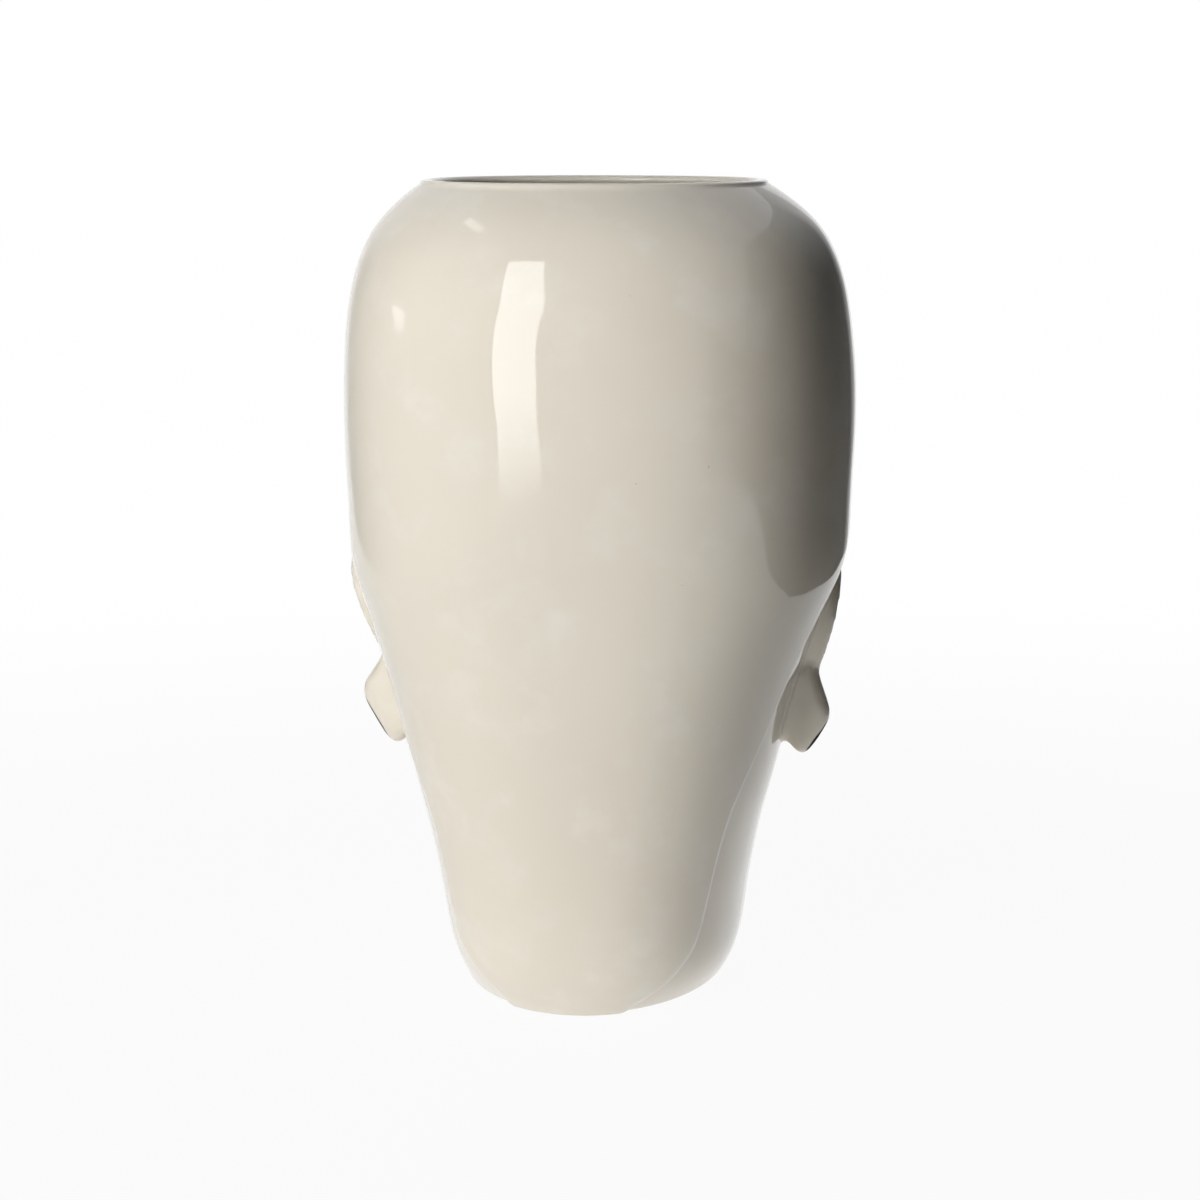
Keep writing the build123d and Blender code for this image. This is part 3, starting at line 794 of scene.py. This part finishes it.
def floorMaterial():
    # pale to the camera and in the gloss, whiter away from the vase, and still able to take a shadow
    material = bpy.data.materials.new("floorWhite")
    material.use_nodes = True
    wiring = Lighting(material.node_tree)
    place = wiring.add("ShaderNodeTexCoord").outputs["Object"]
    away = wiring.add("ShaderNodeVectorMath", {"operation": "LENGTH"}, in0=place).outputs["Value"]
    white = wiring.ramp(away, *studio["floorFade"], *studio["floorWhite"])
    # the floor close to the foot throws light back up the wall
    bounce = wiring.ramp(away, *studio["bounceFade"], *studio["bounce"])
    share = wiring.maths("MAXIMUM", wiring.maths("MULTIPLY", wiring.seen(), white), bounce)
    plain = wiring.add("ShaderNodeBsdfDiffuse", Color=(*studio["floorColour"], 1)).outputs[0]
    glow = wiring.add("ShaderNodeEmission", Color=(1, 1, 1, 1)).outputs[0]
    mixed = wiring.add("ShaderNodeMixShader", in0=share, in1=plain, in2=glow).outputs[0]
    wiring.add("ShaderNodeOutputMaterial", Surface=mixed)
    return material


def toneMaterial(name, glow=None):
    # glows by the tone of each point; without a glow of its own it is a card
    material = bpy.data.materials.new(name)
    material.use_nodes = True
    wiring = Lighting(material.node_tree)
    tone = wiring.add("ShaderNodeAttribute", {"attribute_name": "tone"}).outputs["Fac"]
    strength = wiring.maths("MULTIPLY", tone, wiring.dimmedUnseen() if glow is None else glow)
    shine = wiring.add("ShaderNodeEmission", Color=(1, 1, 1, 1), Strength=strength).outputs[0]
    wiring.add("ShaderNodeOutputMaterial", Surface=shine)
    return material


def stageUnseen(piece):
    piece.visible_camera = False
    piece.visible_shadow = False


def standCard(name, look, material):
    bm = bmesh.new()
    row = [bm.verts.new((x, y, 0.0)) for x, y, _ in look["folds"]]
    edges = [bm.edges.new(pair) for pair in zip(row, row[1:])]
    for (low, *_), (high, *_) in zip(look["levels"], look["levels"][1:]):
        made = bmesh.ops.extrude_edge_only(bm, edges=edges)["geom"]
        raised = [v for v in made if isinstance(v, bmesh.types.BMVert)]
        bmesh.ops.translate(bm, verts=raised, vec=(0, 0, high - low))
        edges = [e for e in made if isinstance(e, bmesh.types.BMEdge) and all(v in made for v in e.verts)]
    card = finishPiece(name, bm, material)
    values = []
    for vert in card.data.vertices:
        nearest = min(look["folds"], key=lambda fold: abs(fold[0] - vert.co.x) + abs(fold[1] - vert.co.y))
        level = min(look["levels"], key=lambda row: abs(row[0] - vert.co.z))
        values.append(nearest[2] * level[1] + level[2])
    card.data.attributes.new("tone", "FLOAT", "POINT").data.foreach_set("value", values)
    stageUnseen(card)


def setRoom():
    bm = bmesh.new()
    bmesh.ops.create_grid(bm, x_segments=1, y_segments=1, size=studio["floorSize"] / 2)
    finishPiece("floor", bm, floorMaterial())
    material = toneMaterial("roomCard")
    for name, look in roomCards.items():
        standCard(name, look, material)
    scene.world = bpy.data.worlds.new("studioLight")
    scene.world.use_nodes = True
    wiring = Lighting(scene.world.node_tree)
    back = wiring.add("ShaderNodeBackground", Color=(1, 1, 1, 1), Strength=wiring.dimmedUnseen()).outputs[0]
    wiring.add("ShaderNodeOutputWorld", Surface=back)


def hangPanel(name, rows, glow, place):
    # a glowing sheet, row by row, each row with its own tone
    bm = bmesh.new()
    tones = bm.verts.layers.float.new("tone")
    before = None
    for first, last, tone in rows:
        ends = [bm.verts.new(first), bm.verts.new(last)]
        for vert in ends:
            vert[tones] = tone
        if before:
            bm.faces.new((before[0], before[1], ends[1], ends[0]))
        before = ends
    bm.transform(place)
    stageUnseen(finishPiece(name, bm, toneMaterial("lightPanel", glow)))


def facingVase(look):
    # a place on a ring round the vase, turned to face it
    turn = radians(look["azimuth"])
    place = Matrix.Translation((sin(turn) * look["distance"], cos(turn) * look["distance"], look["middle"]))
    return place @ Matrix.Rotation(pi - turn, 4, "Z") @ Matrix.Rotation(pi / 2, 4, "X")


def hangStrip():
    rows = [((low, share * strip["half"], 0.0), (high, share * strip["half"], 0.0), tone)
            for share, low, high, tone in strip["rows"]]
    tilt = Matrix.Rotation(radians(strip["tilt"]), 4, "Z")
    hangPanel("stripLight", rows, strip["glow"], facingVase(strip) @ tilt)


def hangLamp(name, look):
    lamp = bpy.data.lights.new(name, "AREA")
    lamp.shape = "RECTANGLE"
    lamp.size, lamp.size_y = look["width"], look["height"]
    lamp.energy = look["power"]
    box = bpy.data.objects.new(name, lamp)
    box.matrix_world = facingVase(look)
    box.visible_camera = False
    box.visible_glossy = False
    scene.collection.objects.link(box)


def setCamera():
    camera = bpy.data.objects.new("camera", bpy.data.cameras.new("camera"))
    scene.collection.objects.link(camera)
    turn = radians(view["azimuth"])
    pitch, aim = (view[part] / view["focalPixels"] for part in ("pitchPixels", "aimPixels"))
    camera.location = sin(turn) * view["distance"], cos(turn) * view["distance"], view["height"]
    camera.rotation_euler = pi / 2 - atan(pitch), 0, pi - turn + aim
    camera.data.sensor_width = view["sensor"]
    camera.data.lens = view["lens"]
    scene.camera = camera


setRoom()
hangStrip()
for name, rows in windowPanes.items():
    hangPanel(name, rows, 1.0, Matrix())
for name, look in lamps.items():
    hangLamp(name, look)
setCamera()
print("studio set")
